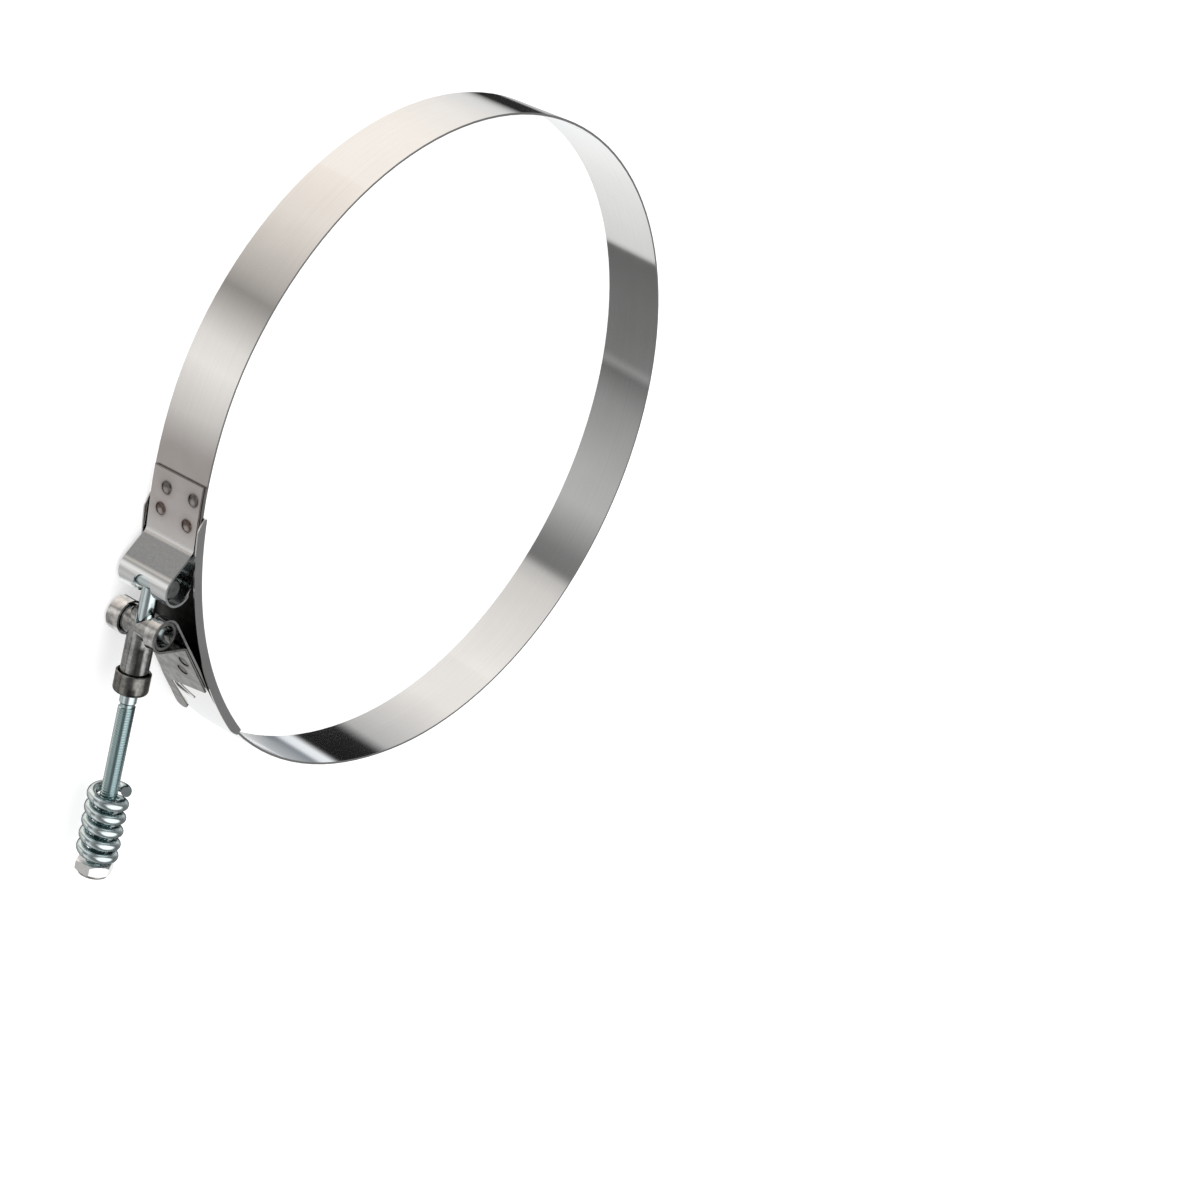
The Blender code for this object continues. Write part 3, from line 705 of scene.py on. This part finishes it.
def make_thread():
    """Helical ridge on the bolt, from a four-sided section and the Screw modifier."""
    radius = BOLT_DIAMETER / 2
    foot = radius - THREAD_DEPTH - THREAD_SINK
    crest = THREAD_PITCH * THREAD_CREST / 2
    base = THREAD_PITCH * THREAD_FOOT / 2
    turns = math.floor((BOLT_HIGH.x - THREAD_START - RUNOUT - HEAD_CHAMFER) / THREAD_PITCH) - 1
    ridge = outline("bolt_thread", [
        (-base, foot, 0.0), (-crest, radius, 0.0), (crest, radius, 0.0), (base, foot, 0.0)])
    screw = ridge.modifiers.new("thread", "SCREW")
    screw.axis = "X"
    screw.angle = 2 * math.pi
    screw.screw_offset = THREAD_PITCH
    screw.iterations = turns
    screw.steps = THREAD_STEPS
    screw.render_steps = THREAD_STEPS
    screw.use_merge_vertices = True
    screw.merge_threshold = MERGE_TURNED
    to_axis(ridge, THREAD_START + RUNOUT + THREAD_PITCH)
    open_mesh(ridge)
    bpy.ops.mesh.fill_holes(sides=0)
    bpy.ops.mesh.normals_make_consistent(inside=False)
    close_mesh()
    smooth(ridge, 25.0)
    ridge.data.materials.clear()
    ridge.data.materials.append(FINISHES["bolt_zinc"])
    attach(ridge, "clamp")


def make_spring():
    """Left-hand helix of round wire, cut off square at its free end."""
    coil = (SPRING_HIGH.y - SPRING_LOW.y - WIRE_DIAMETER) / 2
    end_x = NUT_LOW.x - SEAT_GAP - WIRE_DIAMETER / 2
    steps = math.ceil(SPRING_TURNS * WIRE_STEPS)
    start = math.radians(SPRING_FREE_END_ANGLE - 360.0 * SPRING_TURNS)
    curve = bpy.data.curves.new("spring_wire", "CURVE")
    curve.dimensions = "3D"
    curve.bevel_depth = WIRE_DIAMETER / 2
    curve.bevel_resolution = WIRE_ROUNDNESS
    curve.use_fill_caps = True
    spline = curve.splines.new("POLY")
    spline.points.add(steps)
    for i, point in enumerate(spline.points):
        turn = SPRING_TURNS * i / steps
        angle = start + 2 * math.pi * turn
        closing = CLOSED_TURN * (1 - math.exp(-turn / CLOSED_TURN))
        x = end_x - SPRING_PITCH * (turn - closing)
        point.co = (x, AXIS_Y + coil * math.cos(angle), AXIS_Z + coil * math.sin(angle), 1.0)
    spring = bpy.data.objects.new("spring_coil", curve)
    bpy.context.scene.collection.objects.link(spring)
    pick_only(spring)
    bpy.ops.object.convert(target="MESH")
    clean_faces(spring)
    smooth(spring, 40.0)
    finish_piece(spring, "spring", "spring_carriage", "spring_zinc")


def make_nut():
    """Hexagon trimmed by a turned outline with a round locking collar, bored round the bolt."""
    height = NUT_HIGH.x - NUT_LOW.x
    corner = ACROSS_FLATS / math.sqrt(3)
    bpy.ops.mesh.primitive_cylinder_add(vertices=6, radius=corner, depth=height,
                                        location=(height / 2, 0, 0), rotation=(0, math.radians(90), 0))
    nut = bpy.context.active_object
    nut.name = "nut_body"
    bpy.ops.object.transform_apply(location=True, rotation=True, scale=True)
    nut.rotation_euler.x = math.radians(30)
    bpy.ops.object.transform_apply(location=False, rotation=True, scale=False)
    rim = ACROSS_FLATS / 2
    slope = NUT_CHAMFER / (corner - rim)
    full = corner + NUT_CHAMFER
    collar = rim - NUT_COLLAR_INSET
    shoulder = height - NUT_COLLAR_LENGTH
    profile = [(0, 0), (0, rim), (slope * (full - rim), full),
               (shoulder - slope * (full - collar), full), (shoulder, collar)]
    profile += round_corner(height, collar, NUT_COLLAR_ROUND)
    profile.append((height, 0))
    combine(nut, turned("nut_outline", profile, RIM_SIDES), "INTERSECT")
    far = height + DRILL_PAST
    drill = [(-DRILL_PAST, 0), (-DRILL_PAST, NUT_BORE), (far, NUT_BORE), (far, 0)]
    combine(nut, turned("nut_hole", drill, BORE_SIDES), "DIFFERENCE")
    to_axis(nut, NUT_LOW.x)
    smooth(nut, 20.0)
    finish_piece(nut, "lock_nut", "nut", "nut_zinc")


def make_collar():
    """Drawn cup over the sleeve's end, with a turned lip and a hole for the bolt."""
    radius = (COLLAR_HIGH.y - COLLAR_LOW.y) / 2
    inside = radius - COLLAR_WALL
    length = COLLAR_HIGH.x - COLLAR_LOW.x
    floor = length - COLLAR_FLOOR
    bore = BOLT_DIAMETER / 2 + COLLAR_CLEARANCE
    profile = [(0, inside + COLLAR_LIP), (0, radius - COLLAR_LIP), (COLLAR_LIP, radius)]
    profile += round_corner(length, radius, COLLAR_CORNER)
    profile += [(length, bore), (floor, bore), (floor, inside), (COLLAR_LIP, inside)]
    collar = turned("collar_cup", profile, RIM_SIDES)
    to_axis(collar, COLLAR_LOW.x)
    smooth(collar, 40.0)
    finish_piece(collar, "trunnion_collar", "clamp", "collar_steel")


def mark_channel_shade(bridge):
    """Mark the faces of the channel's floor that look out at the bolt, where shade is painted."""
    channel_shade = bridge.data.attributes.new("channel_shade", "FLOAT", "FACE")
    for face, value in zip(bridge.data.polygons, channel_shade.data):
        middle = face.center
        outward = Vector((middle.x, middle.y, 0)).normalized()
        inside = CHANNEL_LOW < middle.z < CHANNEL_HIGH
        value.value = 1.0 if inside and face.normal.dot(outward) > FACES_OUT else 0.0


def make_strips():
    """Band, bridge and trunnion, over copies of their solids."""
    finish_piece(merged_copy("band", "band_strip"), "band", "clamp", "band_steel")
    bridge = merged_copy("bridge", "bridge_channel")
    mark_channel_shade(bridge)
    finish_piece(bridge, "bridge", "clamp", "bridge_steel")
    finish_piece(merged_copy("trunnion", "trunnion_body"), "trunnion", "clamp", "trunnion_steel")


# Studio

def gray(value):
    """Linear value of a screen gray between 0 and 255."""
    return ((value / 255.0 + 0.055) / 1.055) ** 2.4


def tinted(value, warmth):
    """Linear color of a screen gray, made warmer or cooler."""
    level = gray(value)
    return (level * (1 + warmth), level, level * (1 - warmth))


def band_of_studio(tree, position, stops, low, high):
    """Color ramp over a range of angles or heights."""
    span = high - low
    share = math_node(tree, "MULTIPLY_ADD", position, 1 / span, -low / span)
    return ramped(tree, share, [((at - low) / span, color) for at, color in stops])


def above(tree, height, edge, under, over):
    """Blend from one color to another where the height passes an edge."""
    level, soft = edge
    share = remap(tree, height, (level - soft, level + soft))
    return mixed(tree, "RGBA", share, under, over)


def make_world():
    """Even gray light in a white room, with the cards and flags seen only in the metal."""
    world = bpy.data.worlds.new("studio")
    bpy.context.scene.world = world
    world.use_nodes = True
    tree = world.node_tree
    shader = tree.nodes["Background"]
    shader.inputs["Strength"].default_value = 1.0
    place = tree.nodes.new("ShaderNodeTexCoord")
    split = tree.nodes.new("ShaderNodeSeparateXYZ")
    tree.links.new(place.outputs["Generated"], split.inputs[0])
    height = split.outputs["Z"]
    compass = math_node(tree, "ARCTAN2", split.outputs["Y"], split.outputs["X"])
    rings = []
    for cards in (CARDS_LOW, CARDS_MIDDLE, CARDS_SIDE):
        tones = [(math.radians(at), tinted(value, warmth)) for at, value, warmth in cards]
        rings.append(band_of_studio(tree, compass, tones, -math.pi, math.pi))
    tones = [(at, tinted(value, 0.0)) for at, value in CARDS_ABOVE]
    top = band_of_studio(tree, height, tones, -1.0, 1.0)
    walls = above(tree, height, TOP_OF_LOW, rings[0], rings[1])
    walls = above(tree, height, TOP_OF_MIDDLE, walls, rings[2])
    mirrored = above(tree, height, TOP_OF_SIDE, walls, top)
    ray = tree.nodes.new("ShaderNodeLightPath")
    color = mixed(tree, "RGBA", ray.outputs["Is Glossy Ray"], PLAIN_LIGHT, mirrored)
    color = mixed(tree, "RGBA", ray.outputs["Is Camera Ray"], color, WHITE)
    tree.links.new(color, shader.inputs["Color"])


def make_floor():
    """Matt floor that shows white and keeps the clamp's shadow."""
    bpy.ops.mesh.primitive_plane_add(size=FLOOR_SIZE, location=(0, 0, 0))
    floor = bpy.context.active_object
    floor.name = "floor"
    material = bpy.data.materials.new("floor_white")
    material.use_nodes = True
    tree = material.node_tree
    shader = tree.nodes["Principled BSDF"]
    shader.inputs["Base Color"].default_value = FLOOR_COLOR
    shader.inputs["Roughness"].default_value = 0.9
    shader.inputs["Specular IOR Level"].default_value = 0.0
    shader.inputs["Emission Color"].default_value = WHITE
    ray = tree.nodes.new("ShaderNodeLightPath")
    glow = math_node(tree, "MULTIPLY", ray.outputs["Is Camera Ray"], FLOOR_GLOW)
    tree.links.new(glow, shader.inputs["Emission Strength"])
    floor.data.materials.append(material)
    floor.visible_glossy = False


def make_lamp():
    """Large soft lamp high above, turned towards the clamp."""
    bpy.ops.object.light_add(type="AREA", location=LAMP_PLACE)
    lamp = bpy.context.active_object
    lamp.name = "softbox"
    lamp.data.size = LAMP_SIZE
    lamp.data.energy = LAMP_POWER
    lamp.rotation_euler = (-LAMP_PLACE).to_track_quat("-Z", "Y").to_euler()


def make_camera():
    """Camera at the photograph's place, built from its look and up directions."""
    back = -CAMERA_LOOK.normalized()
    right = CAMERA_LOOK.cross(CAMERA_UP).normalized()
    up = back.cross(right)
    turn = Matrix((right, up, back)).transposed()
    bpy.ops.object.camera_add(location=CAMERA_PLACE, rotation=turn.to_euler())
    camera = bpy.context.active_object
    camera.data.lens = CAMERA_LENS
    camera.data.sensor_width = CAMERA_SENSOR
    camera.data.clip_start = CAMERA_NEAR
    camera.data.clip_end = CAMERA_FAR
    bpy.context.scene.camera = camera


bpy.ops.object.select_all(action="DESELECT")
make_camera()
make_strips()
make_bolt()
make_thread()
make_spring()
make_nut()
make_collar()
make_world()
make_floor()
make_lamp()
bpy.context.scene.view_settings.view_transform = "Standard"
